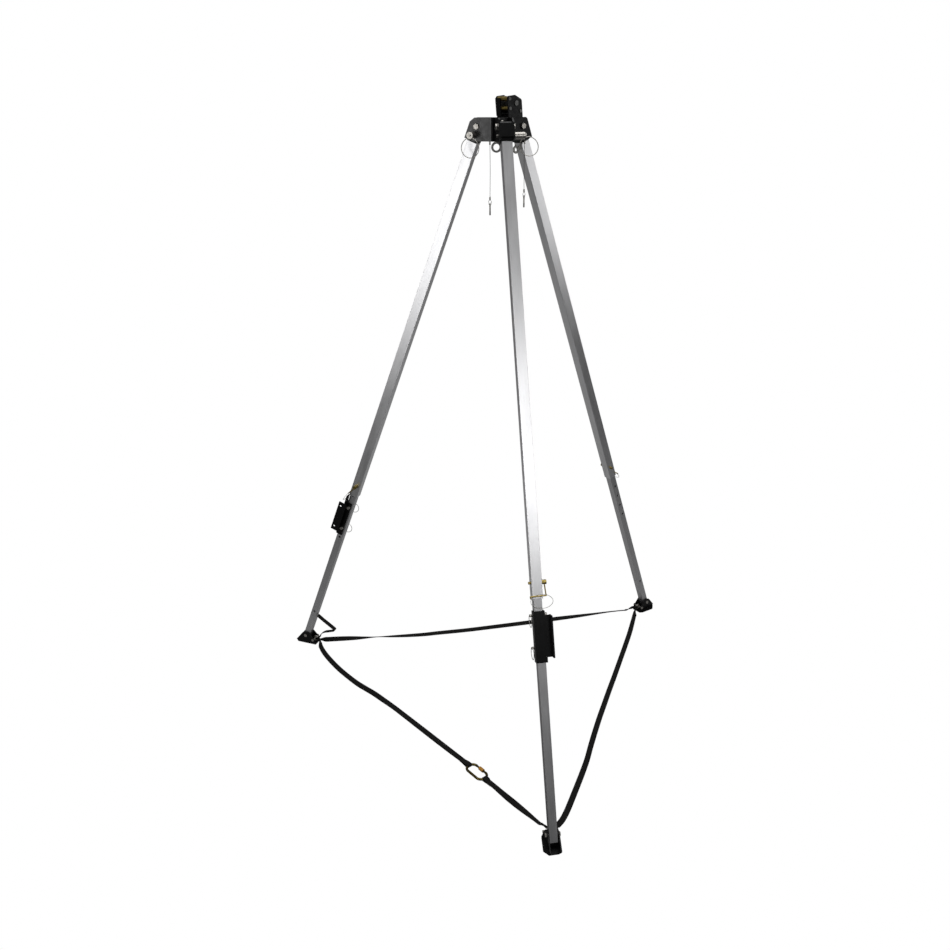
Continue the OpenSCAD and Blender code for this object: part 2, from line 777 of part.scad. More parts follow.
module half_bow() rotate_extrude(angle = 180) translate([bow_r, 0]) circle(d = carabiner_d);

module carabiner_body() color(ZINC) on_carabiner() {
    translate([straight, 0, 0]) rotate([90, 0, 0]) rotate([0, 0, -90]) half_bow();
    translate([-straight, 0, 0]) rotate([90, 0, 0]) rotate([0, 0, 90]) half_bow();
    translate([0, 0, -bow_r]) rod_x(carabiner_d, -straight, straight);
    translate([0, 0, bow_r]) {
        rod_x(gate_d, gate_end_x, straight);
        translate([gate_pivot_x, 0, 0]) {
            rod_y(2 * tongue_r, -tongue_t / 2, tongue_t / 2);
            rod_y(rivet_d, -gate_d / 2 + 0.2, gate_d / 2 - 0.2);
            translate([-straight - gate_pivot_x - 1, -tongue_t / 2, -tongue_r + 1])
                cube([straight + gate_pivot_x + 1, tongue_t, 2 * tongue_r - 2]);
        }
    }
}

module carabiner_gate() color(ZINC) on_carabiner() translate([gate_pivot_x, 0, bow_r]) difference() {
    union() {
        rod_x(gate_d, 0, gate_end_x - gate_gap - gate_pivot_x);
        sphere(d = gate_d);
    }
    translate([-gate_d, -tongue_t / 2 - slip, -gate_d]) cube([gate_d + tongue_r + 1.5, tongue_t + 2 * slip, 2 * gate_d]);
    rod_y(rivet_d + 2 * fit, -gate_d, gate_d);
}

module carabiner_sleeve() color([0.80, 0.42, 0.08]) on_carabiner() translate([0, 0, bow_r]) difference() {
    rod_x(sleeve_d, sleeve_x, sleeve_x + sleeve_l);
    rod_x(sleeve_bore, sleeve_x - 1, sleeve_x + sleeve_l + 1);
}

head_hub();
clevis(LEFT);  // clevis_left
clevis(FRONT);  // clevis_front
clevis(RIGHT);  // clevis_right
head_bolts();
anchor_eye();
lock_pin(LEFT);  // lock_pin_left
lock_pin(FRONT);  // lock_pin_front
lock_pin(RIGHT);  // lock_pin_right
lock_ring(LEFT);  // lock_ring_left
lock_ring(FRONT);  // lock_ring_front
lock_ring(RIGHT);  // lock_ring_right
pulley_base();
pulley_cheeks();
pulley_spacers();
pulley_bolts();
sheave(sheave_y);  // sheave_inner
sheave(-sheave_y);  // sheave_outer
lanyard(LEFT);  // lanyard_left
lanyard(RIGHT);  // lanyard_right
hitch_pins();
knuckle(LEFT);  // knuckle_left
knuckle(FRONT);  // knuckle_front
knuckle(RIGHT);  // knuckle_right
upper_tube(LEFT);  // upper_tube_left
upper_tube(FRONT);  // upper_tube_front
upper_tube(RIGHT);  // upper_tube_right
leg_eye();
lower_tube(LEFT);  // lower_tube_left
lower_tube(FRONT);  // lower_tube_front
lower_tube(RIGHT);  // lower_tube_right
adjust_pin(LEFT);  // adjust_pin_left
adjust_pin(FRONT);  // adjust_pin_front
adjust_pin(RIGHT);  // adjust_pin_right
pin_bail(LEFT);  // pin_bail_left
pin_bail(FRONT);  // pin_bail_front
pin_bail(RIGHT);  // pin_bail_right
winch_bracket(LEFT);  // winch_bracket_left
winch_bracket(FRONT);  // winch_bracket_front
bracket_pins(LEFT);  // bracket_pins_left
bracket_pins(FRONT);  // bracket_pins_front
bracket_rings(LEFT);  // bracket_rings_left
bracket_rings(FRONT);  // bracket_rings_front
foot_shoe(LEFT);  // foot_shoe_left
foot_shoe(FRONT);  // foot_shoe_front
foot_shoe(RIGHT);  // foot_shoe_right
foot_bolt(LEFT);  // foot_bolt_left
foot_bolt(FRONT);  // foot_bolt_front
foot_bolt(RIGHT);  // foot_bolt_right
strap_ring(LEFT);  // strap_ring_left
strap_ring(FRONT);  // strap_ring_front
strap_ring(RIGHT);  // strap_ring_right
strap_left();
strap_front();
strap_front_right();
strap_right_left();
strap_tail();
carabiner_body();
carabiner_gate();
carabiner_sleeve();
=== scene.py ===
import bpy
import bmesh
import json
import math
from mathutils import Matrix, Vector


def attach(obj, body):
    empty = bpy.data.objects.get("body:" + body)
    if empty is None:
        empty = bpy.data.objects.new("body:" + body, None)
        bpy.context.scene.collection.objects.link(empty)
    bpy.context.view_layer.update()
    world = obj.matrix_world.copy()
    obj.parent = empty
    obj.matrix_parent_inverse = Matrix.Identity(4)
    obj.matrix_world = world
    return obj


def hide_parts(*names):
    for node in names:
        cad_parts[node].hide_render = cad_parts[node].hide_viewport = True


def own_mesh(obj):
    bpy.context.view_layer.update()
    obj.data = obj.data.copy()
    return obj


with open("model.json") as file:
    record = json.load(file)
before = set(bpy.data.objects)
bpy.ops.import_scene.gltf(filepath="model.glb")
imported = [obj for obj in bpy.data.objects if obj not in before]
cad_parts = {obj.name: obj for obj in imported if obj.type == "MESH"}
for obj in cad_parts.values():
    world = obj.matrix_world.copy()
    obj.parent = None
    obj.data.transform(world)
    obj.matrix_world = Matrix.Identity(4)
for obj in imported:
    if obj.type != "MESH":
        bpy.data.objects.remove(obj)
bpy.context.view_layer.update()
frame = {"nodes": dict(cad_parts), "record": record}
nodes = frame["nodes"]
scene = bpy.context.scene

# Sizes of the frame, in metres, as in the part's source
TILT = math.radians(21.4)
PIVOT_R, PIVOT_Z = 0.088, 2.547885
FOOT_R, FOOT_PIVOT_Z = 1.067694, 0.048
AXIS_Y = 0.269621
HEAD_BOTTOM = PIVOT_Z - 0.054
PIN_Z = 1.716
LOWER_TUBE_FACE = 0.0164
AZIMUTH = {"left": math.radians(150), "front": math.radians(270), "right": math.radians(30)}
BOW_X = -0.060528
STRAP_X, STRAP_Y, STRAP_Z = -0.068328, 0.00675, 0.009
STRAP_W, STRAP_T = 0.025, 0.0024
CARABINER_AT, CARABINER_L, CARABINER_ROD = 0.426, 0.116, 0.011
UP = Vector((0, 0, 1))


def radial(leg):
    a = AZIMUTH[leg]
    return Vector((math.cos(a), math.sin(a), 0))


def tangent(leg):
    a = AZIMUTH[leg]
    return Vector((-math.sin(a), math.cos(a), 0))


# Directions of a leg: outward across it and down along it
def leg_axes(leg):
    e = radial(leg)
    out = e * math.cos(TILT) + UP * math.sin(TILT)
    down = e * math.sin(TILT) - UP * math.cos(TILT)
    return out, down


def on_foot(leg, x, y, z):
    return Vector((0, AXIS_Y, z)) + radial(leg) * (FOOT_R + x) + tangent(leg) * y


def on_leg(leg, x, y, s):
    out, down = leg_axes(leg)
    pivot = Vector((0, AXIS_Y, PIVOT_Z)) + radial(leg) * PIVOT_R
    return pivot + out * x + tangent(leg) * y + down * s


def under_head(leg, x, y):
    return Vector((0, AXIS_Y, HEAD_BOTTOM)) + radial(leg) * x + tangent(leg) * y


# Camera

CAMERA_AT = (-0.711426, -3.629357 + AXIS_Y, 2.645703)
CAMERA_LENS = 34.094
yaw, pitch, roll = math.radians(9.3835), math.radians(22.6865), math.radians(-0.5214)
look = Vector((math.sin(yaw) * math.cos(pitch), math.cos(yaw) * math.cos(pitch), -math.sin(pitch)))
level = Vector((math.cos(yaw), -math.sin(yaw), 0))
above = level.cross(look)
right = level * math.cos(roll) + above * math.sin(roll)
up = above * math.cos(roll) - level * math.sin(roll)
cam_data = bpy.data.cameras.new("camera")
cam_data.sensor_width = 36
cam_data.lens = CAMERA_LENS
cam_data.clip_end = 60
camera = bpy.data.objects.new("camera", cam_data)
scene.collection.objects.link(camera)
camera.matrix_world = Matrix((
    (right.x, up.x, -look.x, CAMERA_AT[0]),
    (right.y, up.y, -look.y, CAMERA_AT[1]),
    (right.z, up.z, -look.z, CAMERA_AT[2]),
    (0, 0, 0, 1),
))
scene.camera = camera


# Materials

def new_material(name):
    m = bpy.data.materials.new(name)
    m.use_nodes = True
    nt = m.node_tree
    return m, nt, nt.nodes["Principled BSDF"]


def add(nt, kind, **inputs):
    n = nt.nodes.new(kind)
    for key, value in inputs.items():
        n.inputs[key].default_value = value
    return n


def math_node(nt, op, a, b=None):
    n = nt.nodes.new("ShaderNodeMath")
    n.operation = op
    for i, v in enumerate((a, b)):
        if v is None:
            continue
        if isinstance(v, (int, float)):
            n.inputs[i].default_value = v
        else:
            nt.links.new(v, n.inputs[i])
    return n.outputs[0]


# Two values added, each with its own weight
def weighted(nt, a, weight_a, b, weight_b):
    return math_node(nt, "ADD", math_node(nt, "MULTIPLY", a, weight_a), math_node(nt, "MULTIPLY", b, weight_b))


def scaled(nt, a, factor, offset):
    return math_node(nt, "ADD", math_node(nt, "MULTIPLY", a, factor), offset)


# The second vector is a socket or a fixed direction
def dot(nt, vec, other):
    n = nt.nodes.new("ShaderNodeVectorMath")
    n.operation = "DOT_PRODUCT"
    nt.links.new(vec, n.inputs[0])
    if isinstance(other, bpy.types.NodeSocket):
        nt.links.new(other, n.inputs[1])
    else:
        n.inputs[1].default_value = other
    return n.outputs["Value"]


def ramp(nt, fac, stops):
    n = nt.nodes.new("ShaderNodeValToRGB")
    nt.links.new(fac, n.inputs["Fac"])
    el = n.color_ramp.elements
    while len(el) < len(stops):
        el.new(0.5)
    for e, (p, c) in zip(el, stops):
        e.position = p
        e.color = c
    return n.outputs["Color"]


def noise(nt, scale, detail=4.0, rough=0.55, vec=None):
    n = add(nt, "ShaderNodeTexNoise", Scale=scale, Detail=detail, Roughness=rough)
    if vec is None:
        vec = nt.nodes.new("ShaderNodeTexCoord").outputs["Object"]
    nt.links.new(vec, n.inputs["Vector"])
    return n.outputs["Fac"]


def rgb(r, g, b):
    return (r, g, b, 1)


def grey(v):
    return rgb(v, v, v)


def darker(colour, share):
    return rgb(*(share * c for c in colour[:3]))


def mix(nt, fac, a, b):
    n = nt.nodes.new("ShaderNodeMix")
    n.data_type = "RGBA"
    nt.links.new(fac, n.inputs["Factor"])
    for i, v in ((6, a), (7, b)):
        if isinstance(v, tuple):
            n.inputs[i].default_value = v
        else:
            nt.links.new(v, n.inputs[i])
    return n.outputs[2]


# The normal with its edges rounded
def rounded(nt, radius):
    bevel = add(nt, "ShaderNodeBevel", Radius=radius)
    bevel.samples = 4
    return bevel.outputs["Normal"]


# How near a rounded edge a point is, from 0 to about 1
def edge_mask(nt, normal):
    flat = nt.nodes.new("ShaderNodeNewGeometry").outputs["Normal"]
    away = math_node(nt, "SUBTRACT", 1.0, dot(nt, normal, flat))
    return math_node(nt, "MULTIPLY", away, 3.4)


def bump(nt, height, strength, distance, normal=None):
    n = add(nt, "ShaderNodeBump", Strength=strength, Distance=distance)
    nt.links.new(height, n.inputs["Height"])
    if normal is not None:
        nt.links.new(normal, n.inputs["Normal"])
    return n.outputs["Normal"]


def set_finish(nt, b, colour, roughness, normal):
    nt.links.new(colour, b.inputs["Base Color"])
    nt.links.new(roughness, b.inputs["Roughness"])
    nt.links.new(normal, b.inputs["Normal"])


WORN_PAINT = rgb(0.10, 0.10, 0.095)


def paint(name, dark, light, gloss):
    m, nt, b = new_material(name)
    normal = rounded(nt, radius=0.0009)
    worn = math_node(nt, "MULTIPLY", edge_mask(nt, normal), noise(nt, scale=55, detail=6, rough=0.7))
    mottled = ramp(nt, noise(nt, scale=18, detail=5), [(0.3, dark), (0.75, light)])
    colour = mix(nt, math_node(nt, "MINIMUM", worn, 0.7), mottled, WORN_PAINT)
    roughness = ramp(nt, noise(nt, scale=70, detail=5), [(0.3, grey(0.30)), (0.75, grey(0.44))])
    grain = bump(nt, noise(nt, scale=900, detail=3), 0.10, 0.0006, normal)
    set_finish(nt, b, colour, roughness, grain)
    b.inputs["Specular IOR Level"].default_value = gloss
    return m


# Drawn aluminium: fine streaks along the leg and faint rub marks
def drawn(name, leg, dark, light, rough):
    m, nt, b = new_material(name)
    out, down = leg_axes(leg)
    pos = nt.nodes.new("ShaderNodeTexCoord").outputs["Object"]
    s, x, y = dot(nt, pos, down), dot(nt, pos, out), dot(nt, pos, tangent(leg))

    def along(lengthwise, across):
        c = nt.nodes.new("ShaderNodeCombineXYZ")
        for i, (v, k) in enumerate(((s, lengthwise), (x, across), (y, across))):
            nt.links.new(math_node(nt, "MULTIPLY", v, k), c.inputs[i])
        return c.outputs[0]

    streak = noise(nt, 1.0, detail=5, rough=0.65, vec=along(3.0, 900.0))
    cloud = noise(nt, 1.0, detail=4, rough=0.6, vec=along(6.0, 24.0))
    rub = noise(nt, 1.0, detail=6, rough=0.75, vec=along(30.0, 160.0))
    tone = weighted(nt, streak, 0.45, cloud, 0.55)
    metal = ramp(nt, tone, [(0.32, dark), (0.68, light)])
    scuff = ramp(nt, rub, [(0.60, grey(0.0)), (0.78, grey(0.5))])
    colour = mix(nt, scuff, metal, darker(dark, 0.62))
    roughness = ramp(nt, tone, [(0.3, grey(rough[0])), (0.7, grey(rough[1]))])
    set_finish(nt, b, colour, roughness, bump(nt, streak, 0.06, 0.0004, rounded(nt, radius=0.0014)))
    b.inputs["Metallic"].default_value = 1.0
    return m


def plated(name, dark, light, rough=(0.22, 0.38), metal=1.0):
    m, nt, b = new_material(name)
    coat = ramp(nt, noise(nt, scale=60, detail=6, rough=0.65), [(0.3, dark), (0.7, light)])
    spots = ramp(nt, noise(nt, scale=210, detail=4, rough=0.7), [(0.62, grey(0.0)), (0.8, grey(0.55))])
    colour = mix(nt, spots, coat, darker(dark, 0.45))
    roughness = ramp(nt, noise(nt, scale=120), [(0.3, grey(rough[0])), (0.7, grey(rough[1]))])
    grain = bump(nt, noise(nt, scale=700, detail=3), 0.08, 0.0004, rounded(nt, radius=0.0005))
    set_finish(nt, b, colour, roughness, grain)
    b.inputs["Metallic"].default_value = metal
    return m


def moulded(name, dark, light):
    m, nt, b = new_material(name)
    colour = ramp(nt, noise(nt, scale=40, detail=5), [(0.3, dark), (0.7, light)])
    roughness = ramp(nt, noise(nt, scale=90), [(0.3, grey(0.45)), (0.7, grey(0.65))])
    grain = bump(nt, noise(nt, scale=1400, detail=2), 0.15, 0.0004, rounded(nt, radius=0.0006))
    set_finish(nt, b, colour, roughness, grain)
    return m


# Woven webbing on UVs in metres: ribs along the band, crossed by a twill that slants to both edges
def webbing(name, dark, light):
    m, nt, b = new_material(name)
    uv = nt.nodes.new("ShaderNodeUVMap")
    sep = nt.nodes.new("ShaderNodeSeparateXYZ")
    nt.links.new(uv.outputs["UV"], sep.inputs[0])
    u, v = sep.outputs[0], sep.outputs[1]

    def wave(a, pitch):
        return math_node(nt, "SINE", math_node(nt, "MULTIPLY", a, 2 * math.pi / pitch))

    ribs = wave(v, 0.0021)
    slant = math_node(nt, "MULTIPLY", math_node(nt, "ABSOLUTE", v), 1.4)
    twill = wave(math_node(nt, "ADD", u, slant), 0.0026)
    weave = scaled(nt, weighted(nt, ribs, 0.6, twill, 0.4), 0.35, 0.5)
    fade = noise(nt, scale=14, detail=5, rough=0.6)
    tone = weighted(nt, weave, 0.6, fade, 0.4)
    nt.links.new(ramp(nt, tone, [(0.2, dark), (0.8, light)]), b.inputs["Base Color"])
    nt.links.new(bump(nt, weave, 0.5, 0.0006), b.inputs["Normal"])
    b.inputs["Roughness"].default_value = 0.8
    b.inputs["Specular IOR Level"].default_value = 0.2
    b.inputs["Sheen Weight"].default_value = 0.04
    return m


PAINT_DARK, PAINT_LIGHT = rgb(0.0022, 0.0022, 0.0025), rgb(0.005, 0.005, 0.0054)
BLACK = paint("black_paint", PAINT_DARK, PAINT_LIGHT, 0.2)
# Copy of the black paint with a stronger specular level, for the left clevis only: painted light. That plate is lit
# more brightly, and its real paint is the same as on the other plates
LIT_SIDE_PAINT = paint("left_clevis_lit_black_paint", PAINT_DARK, PAINT_LIGHT, 0.8)
STEEL = plated("zinc_steel", rgb(0.37, 0.355, 0.33), rgb(0.55, 0.53, 0.49), (0.28, 0.44))
CAST = plated("cast_steel", rgb(0.44, 0.43, 0.41), rgb(0.62, 0.605, 0.58), (0.38, 0.52), 0.55)
DARK_STEEL = plated("dark_steel", rgb(0.06, 0.06, 0.06), rgb(0.13, 0.13, 0.125))
ZINC = plated("yellow_zinc", rgb(0.30, 0.22, 0.06), rgb(0.52, 0.40, 0.13))
OLIVE = plated("olive_zinc", rgb(0.085, 0.066, 0.018), rgb(0.22, 0.17, 0.055), (0.16, 0.30))
ORANGE = plated("orange_coat", rgb(0.58, 0.25, 0.03), rgb(0.82, 0.42, 0.07), (0.3, 0.45), 0.35)
SHEAVE = moulded("sheave_plastic", rgb(0.010, 0.010, 0.011), rgb(0.022, 0.022, 0.023))
WEB = webbing("black_webbing", rgb(0.0025, 0.0024, 0.0022), rgb(0.0105, 0.0096, 0.009))
UPPER = {leg: drawn("bright_aluminium_" + leg, leg, rgb(0.68, 0.68, 0.69), rgb(0.82, 0.82, 0.83), (0.31, 0.40))
         for leg in AZIMUTH}
LOWER = {leg: drawn("grey_aluminium_" + leg, leg, rgb(0.54, 0.54, 0.55), rgb(0.68, 0.68, 0.69), (0.36, 0.46))
         for leg in AZIMUTH}

by_slot = {"black_paint": BLACK, "steel": STEEL, "yellow_zinc": ZINC, "orange_anodised": ORANGE,
           "sheave": SHEAVE, "webbing": WEB}
by_leg = {"bright_aluminium": UPPER, "grey_aluminium": LOWER}
# The left clevis takes the brighter copy of the black paint, as painted light
by_name = {"pulley_bolts": DARK_STEEL, "clevis_left": LIT_SIDE_PAINT, "anchor_eye": CAST, "leg_eye": CAST,
           "carabiner_body": OLIVE, "carabiner_gate": OLIVE}
for part in frame["record"]["subparts"]:
    name, slot = part["node"], part["material_slot"]
    if name in by_name:
        m = by_name[name]
    elif slot in by_leg:
        m = by_leg[slot][name.rsplit("_", 1)[-1]]
    else:
        m = by_slot[slot]
    obj = nodes[name]
    if not obj.material_slots:
        obj.data.materials.append(m)
    for ms in obj.material_slots:
        ms.material = m


# Meshes

def mesh_object(name, bm, material, smooth=True):
    me = bpy.data.meshes.new(name)
    bmesh.ops.recalc_face_normals(bm, faces=bm.faces)
    bm.to_mesh(me)
    bm.free()
    if smooth:
        for p in me.polygons:
            p.use_smooth = True
    me.materials.append(material)
    obj = bpy.data.objects.new(name, me)
    scene.collection.objects.link(obj)
    return obj


# Angles of n even steps round a circle
def around(n):
    return [2 * math.pi * k / n for k in range(n)]


# Round wire along points, closed or with rounded ends
def wire(bm, pts, r, closed=False, sides=12):
    pts = [Vector(p) for p in pts]
    n = len(pts)
    ring_of = []
    ref = None
    for i, p in enumerate(pts):
        a = pts[i - 1] if closed or i else p
        c = pts[(i + 1) % n] if closed or i < n - 1 else p
        d = (c - a).normalized()
        if ref is None:
            ref = d.orthogonal().normalized()
        ref = (ref - d * ref.dot(d)).normalized()
        side = d.cross(ref)
        ring_of.append([bm.verts.new(p + (ref * math.cos(q) + side * math.sin(q)) * r) for q in around(sides)])
    for i in range(n if closed else n - 1):
        a, c = ring_of[i], ring_of[(i + 1) % n]
        shift = 0
        if closed and i == n - 1:
            shift = min(range(sides), key=lambda k: (c[k].co - a[0].co).length)
        for k in range(sides):
            bm.faces.new((a[k], a[(k + 1) % sides], c[(k + 1 + shift) % sides], c[(k + shift) % sides]))
    if not closed:
        for ring, p, q in ((ring_of[0], pts[0], pts[1]), (ring_of[-1], pts[-1], pts[-2])):
            tip = bm.verts.new(p + (p - q).normalized() * r * 0.6)
            for k in range(sides):
                bm.faces.new((ring[k], ring[(k + 1) % sides], tip))


# Catmull-Rom curve through the points, sampled about every step
def smooth_path(pts, step):
    pts = [Vector(p) for p in pts]
    ends = [pts[0] * 2 - pts[1]] + pts + [pts[-1] * 2 - pts[-2]]
    out = []
    for i in range(1, len(ends) - 2):
        p0, p1, p2, p3 = ends[i - 1:i + 3]
        n = max(2, int((p2 - p1).length / step))
        for k in range(n):
            t = k / n
            out.append(0.5 * ((2 * p1) + (p2 - p0) * t + (2 * p0 - 5 * p1 + 4 * p2 - p3) * t * t
                              + (3 * p1 - p0 - 3 * p2 + p3) * t * t * t))
    out.append(pts[-1])
    return out


# Section of the webbing: shares of its width and of its thickness
BAND = [(-0.5, 0.0), (-0.485, 0.36), (-0.44, 0.5), (0.0, 0.5), (0.44, 0.5), (0.485, 0.36),
        (0.5, 0.0), (0.485, -0.36), (0.44, -0.5), (0.0, -0.5), (-0.44, -0.5), (-0.485, -0.36)]


# Flat band along rows of (point, width direction, width), with soft edges and UVs in metres
def ribbon(name, rows):
    bm = bmesh.new()
    layer = bm.loops.layers.uv.new("UVMap")
    rings, run, us = [], 0.0, []
    for i, (p, side, w) in enumerate(rows):
        a = rows[max(i - 1, 0)][0]
        c = rows[min(i + 1, len(rows) - 1)][0]
        d = (c - a).normalized()
        side = (side - d * side.dot(d)).normalized()
        face = d.cross(side)
        if i:
            run += (p - rows[i - 1][0]).length
        us.append(run)
        rings.append([bm.verts.new(p + side * (x * w) + face * (z * STRAP_T)) for x, z in BAND])
    k = len(BAND)
    for i in range(len(rings) - 1):
        for j in range(k):
            f = bm.faces.new((rings[i][j], rings[i + 1][j], rings[i + 1][(j + 1) % k], rings[i][(j + 1) % k]))
            v0, v1 = BAND[j][0] * STRAP_W, BAND[(j + 1) % k][0] * STRAP_W
            for loop, uv in zip(f.loops, ((us[i], v0), (us[i + 1], v0), (us[i + 1], v1), (us[i], v1))):
                loop[layer].uv = uv
    bm.faces.new(rings[0])
    bm.faces.new(list(reversed(rings[-1])))
    return mesh_object(name, bm, WEB)


def eased(t):
    t = min(max(t, 0.0), 1.0)
    return t * t * (3 - 2 * t)


# Straps

LOOP_R = 0.0046
LOOP_W = 0.0104
LOOP_HIGH, LOOP_LOW = 0.0300, 0.0186
NECK_Y, LAP_Y, LAP_GAP = 0.0044, 0.0016, 0.0028
LAP_ROWS, LOOP_ROWS = 8, 10
LOOP_SWEEP = 125


# Loop of a strap round the inner bow of a foot's ring: the sewn lap, round the bow, back to the run's first row
def ring_loop(leg, side, first, stand=1):
    far, flat, _ = first
    z = LOOP_HIGH if side > 0 else LOOP_LOW
    neck = on_foot(leg, BOW_X - LOOP_R, side * NECK_Y, z)
    lap = on_foot(leg, BOW_X - LOOP_R, side * LAP_Y, z)
    face = (neck - far).cross(flat).normalized()
    face *= LAP_GAP if face.z > 0 else -LAP_GAP

    def row(p, t):
        e = eased(t)
        q = p.copy()
        q.z = far.z + (z - far.z) * e
        narrow = eased((t - 0.4) / 0.6)
        return q, (flat * (1 - e) + UP * (stand * e)).normalized(), STRAP_W + (LOOP_W - STRAP_W) * narrow

    rows = []
    for k in range(LAP_ROWS + 1):
        t = k / LAP_ROWS
        q, across, wide = row(far.lerp(lap, t), t)
        rows.append((q + face * (1 - eased(t)), across, wide))
    for k in range(LOOP_ROWS + 1):
        a = math.radians(-LOOP_SWEEP + 2 * LOOP_SWEEP * k / LOOP_ROWS) * side
        p = on_foot(leg, BOW_X + LOOP_R * math.cos(a), LOOP_R * math.sin(a), z)
        rows.append((p, UP * stand, LOOP_W))
    for k in range(LAP_ROWS, 0, -1):
        t = k / LAP_ROWS
        rows.append(row(far.lerp(neck, t), t))
    return rows


BOW_SWEEP = 118
BOW_ROWS, BOW_LAP_ROWS = 10, 6
BOW_LAP_START, BOW_LAP_L, BOW_LAP_Z = 0.006, 0.042, 0.0062


# End of a strap at a bow of the carabiner: up to the bow, round it and back under as the sewn lap
def carabiner_end(bow, heading, flat):
    r = CARABINER_ROD / 2 + STRAP_T / 2 + 0.0004
    rows = [(bow - heading * back + UP * rise, flat, STRAP_W) for back, rise in ((0.018, 0.0052), (0.0095, 0.0066))]
    for k in range(BOW_ROWS + 1):
        a = math.radians(BOW_SWEEP - 2 * BOW_SWEEP * k / BOW_ROWS)
        p = bow + heading * (r * math.cos(a)) + UP * (r * math.sin(a))
        rows.append((p, flat, STRAP_W))
    low = bow.z - r * 0.86
    for k in range(1, BOW_LAP_ROWS + 1):
        t = k / BOW_LAP_ROWS
        p = bow - heading * (BOW_LAP_START + BOW_LAP_L * t)
        p.z = low + (BOW_LAP_Z - low) * eased(t * 1.4)
        rows.append((p, flat, STRAP_W))
    return rows


# Run of a strap from a start along its heading, from a table of (mm along, mm out, degrees turned from flat).
# The turn is carried as the height of the path, in mm for degrees, so that it is smoothed with the rest
def run_rows(start, heading, flat, table):
    away = Vector((heading.y, -heading.x, 0))
    pts = [start + heading * (a / 1000) + away * (o / 1000) + UP * (turn / 1000) for a, o, turn in table]
    rows = []
    for p in smooth_path(pts, 0.008):
        tilt = math.radians((p.z - start.z) * 1000)
        q = p.copy()
        q.z = STRAP_Z + 0.0052 * math.sin(tilt) ** 2
        rows.append((q, flat * math.cos(tilt) + UP * math.sin(tilt), STRAP_W))
    return rows


# Start, end, heading and flat width direction of the strap from one foot to the following one
def strap_line(leg, following):
    start = on_foot(leg, STRAP_X, STRAP_Y, STRAP_Z)
    end = on_foot(following, STRAP_X, -STRAP_Y, STRAP_Z)
    heading = (end - start).normalized()
    return start, end, heading, Vector((-heading.y, heading.x, 0))


left_start, left_end, left_way, left_flat = strap_line("left", "front")
clip_mid = left_end - left_way * CARABINER_AT
clip_half = CARABINER_L / 2 - CARABINER_ROD / 2

left_run = run_rows(left_start, left_way, left_flat, [
    (46, 19, 40), (82, 29, 37), (130, 38, 34), (200, 46, 30), (275, 51, 28), (356, 51, 24), (436, 48, 30),
    (500, 41, 50), (564, 31, 46), (631, 24, 26), (699, 18, 14), (768, 15, 12), (904, 11, 16), (1033, 7, 14),
    (1140, 3, 8), (1208, 0, 0)])
left_rows = ring_loop("left", 1, left_run[0]) + left_run
left_rows += carabiner_end(clip_mid - left_way * clip_half, left_way, left_flat)

front_run = run_rows(left_end, -left_way, left_flat, [
    (36, 0, -24), (70, 0, -18), (108, 0, -4), (150, -1, 14), (190, -2, 28), (228, -2, 22), (265, -1, 10),
    (300, 0, 2), (328, 0, 0), (352, 0, 0)])
front_rows = ring_loop("front", -1, front_run[0], -1) + front_run
front_rows += carabiner_end(clip_mid + left_way * clip_half, -left_way, left_flat)

fr_start, _, fr_way, fr_flat = strap_line("front", "right")
fr_run = run_rows(fr_start, fr_way, fr_flat, [
    (28, 24, 8), (60, 33, 8), (105, 38, 8), (165, 40, 10), (241, 41, 14), (340, 42, 18), (434, 41, 24),
    (529, 35, 22), (627, 30, 14), (731, 26, 10), (841, 24, 8), (956, 22, 8), (1076, 21, 6), (1203, 19, 4),
    (1335, 17, 6), (1476, 14, 14), (1580, 9, 28), (1676, 3, 42)])
fr_rows = ring_loop("front", 1, fr_run[0]) + fr_run + list(reversed(ring_loop("right", -1, fr_run[-1])))

rl_start, _, rl_way, rl_flat = strap_line("right", "left")
rl_run = run_rows(rl_start, rl_way, rl_flat, [
    (48, 4, 22), (82, 5, 23), (150, 4, 20), (238, -1, 8), (354, -8, -12), (440, -13, -24), (520, -18, -28),
    (640, -25, -26), (796, -32, -22), (950, -38, -20), (1102, -38, -18), (1178, -39, -14), (1262, -34, -6),
    (1350, -26, 10), (1425, -19, 28), (1490, -13, 8), (1550, -8, -20), (1610, -4, -42), (1676, 0, -56)])
rl_rows = ring_loop("right", 1, rl_run[0]) + rl_run + list(reversed(ring_loop("left", -1, rl_run[-1], -1)))

# Free tail: (inward of the foot, height), from the tube's inner face out, folded back and down to the ring
TAIL_TOP = 0.172
tail_x = -(TAIL_TOP - FOOT_PIVOT_Z) * math.tan(TILT) - LOWER_TUBE_FACE / math.cos(TILT)
tail_path = smooth_path([(x, 0, z) for x, z in (
    (tail_x - 0.0015, 0.1700), (-0.096, 0.1495), (-0.130, 0.1268), (-0.1555, 0.1095), (-0.1635, 0.1030),
    (-0.1620, 0.0975), (-0.1500, 0.0925), (-0.128, 0.0850), (-0.104, 0.0770), (-0.084, 0.0640),
    (-0.0725, 0.0480), (-0.0668, 0.0330))], 0.004)
tail_rows = [(on_foot("left", p.x, 0, p.z), tangent("left"), STRAP_W) for p in tail_path]


# A strap is made as a band along its rows, attached to the lower leg of its foot, and the part's own strap is hidden
def strap(name, rows, leg, node):
    obj = ribbon(name, rows)
    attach(obj, "lower_leg_" + leg)
    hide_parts(node)
    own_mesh(obj)


strap("webbing_left", left_rows, "left", "strap_left")
strap("webbing_front", front_rows, "front", "strap_front")
strap("webbing_front_right", fr_rows, "front", "strap_front_right")
strap("webbing_right_left", rl_rows, "right", "strap_right_left")
strap("webbing_tail", tail_rows, "left", "strap_tail")


# Lanyards: a ferrule, a hanging wire, a ferrule with a small ring, and the hitch pin

